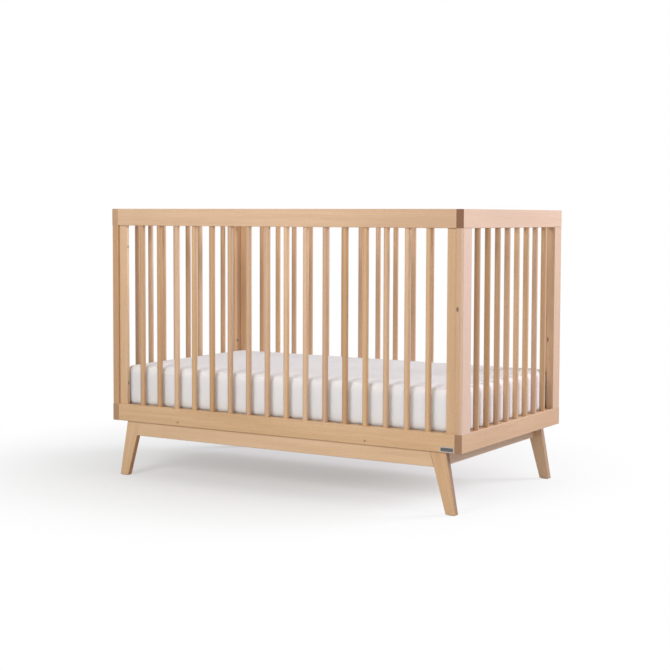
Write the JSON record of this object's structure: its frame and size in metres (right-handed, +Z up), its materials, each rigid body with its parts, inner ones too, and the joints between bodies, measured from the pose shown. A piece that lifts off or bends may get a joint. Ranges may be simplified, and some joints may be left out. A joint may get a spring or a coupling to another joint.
{
  "type": "baby crib",
  "caption": "Wooden baby crib with round spindles on every side, plain butted rails, splayed tapered legs, a slatted support that hangs at a choice of heights and a lift-out mattress.",
  "frame": {"origin": "centre of the footprint, on the floor", "axes": "+X along the length, to the right seen from the front; the front is at -Y; +Z up"},
  "size_m": [1.3588, 0.7606, 0.9322],
  "materials": {
    "beech": "satin",
    "support_wood": "matte",
    "steel": "satin",
    "foot_pad": "matte",
    "mattress_cover": "matte"
  },
  "bodies": {
    "crib_frame": {"back_apron": "beech", "back_bottom_rail": "beech", "back_left_leg": "beech", "back_left_stile": "beech", "back_right_leg": "beech", "back_right_stile": "beech", "back_spindles": "beech", "back_top_rail": "beech", "corner_bolts": "steel", "foot_pads": "foot_pad", "front_apron": "beech", "front_bottom_rail": "beech", "front_left_leg": "beech", "front_left_stile": "beech", "front_right_leg": "beech", "front_right_stile": "beech", "front_spindles": "beech", "front_top_rail": "beech", "left_cross_rail": "beech", "left_end_back_stile": "beech", "left_end_bottom_rail": "beech", "left_end_front_stile": "beech", "left_end_spindles": "beech", "left_end_top_rail": "beech", "right_cross_rail": "beech", "right_end_back_stile": "beech", "right_end_bottom_rail": "beech", "right_end_front_stile": "beech", "right_end_spindles": "beech", "right_end_top_rail": "beech", "support_bolts": "steel"},
    "mattress_support": {"hook_plates": "steel", "support_back_rail": "support_wood", "support_front_rail": "support_wood", "support_left_rail": "support_wood", "support_right_rail": "support_wood", "support_slats": "support_wood"},
    "mattress": {"mattress": "mattress_cover"}
  },
  "joints": [
    {"name": "support_height", "type": "slide", "parent": "crib_frame", "child": "mattress_support", "axis": [0, 0, 1], "range_m": [0, 0.2]},
    {"name": "mattress_lift", "type": "slide", "parent": "mattress_support", "child": "mattress", "axis": [0, 0, 1], "range_m": [0, 0.7]}
  ]
}
